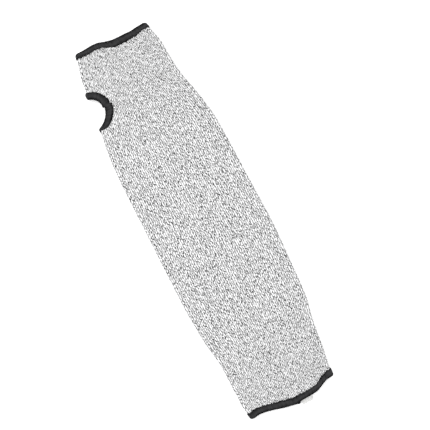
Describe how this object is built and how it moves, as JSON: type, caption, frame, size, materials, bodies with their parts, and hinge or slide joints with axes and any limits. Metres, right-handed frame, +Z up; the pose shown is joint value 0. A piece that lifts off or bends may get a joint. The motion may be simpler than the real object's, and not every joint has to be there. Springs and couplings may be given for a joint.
{
  "type": "cut resistant sleeve",
  "caption": "Knitted tube sleeve for the forearm, lying flat, with bound black hems at both ends and a bound thumb hole in the fold near the hand end.",
  "frame": {"origin": "on the surface that the sleeve lies on, under the middle of its length and of its greatest width", "axes": "+Y along the sleeve to the hand end, +X across it with the thumb hole on the -X side, +Z up out of the surface"},
  "size_m": [0.1314, 0.46, 0.0142],
  "materials": {
    "marl_knit": "plain knit of mixed white and grey yarn, matt",
    "binding_thread": "close black overlock thread, matt with a slight sheen",
    "woven_label": "smooth woven ribbon, off white, blank"
  },
  "bodies": {
    "root": {"sleeve_body": "marl_knit", "hand_hem": "binding_thread", "arm_hem": "binding_thread", "thumb_binding": "binding_thread", "size_label": "woven_label"}
  },
  "joints": []
}
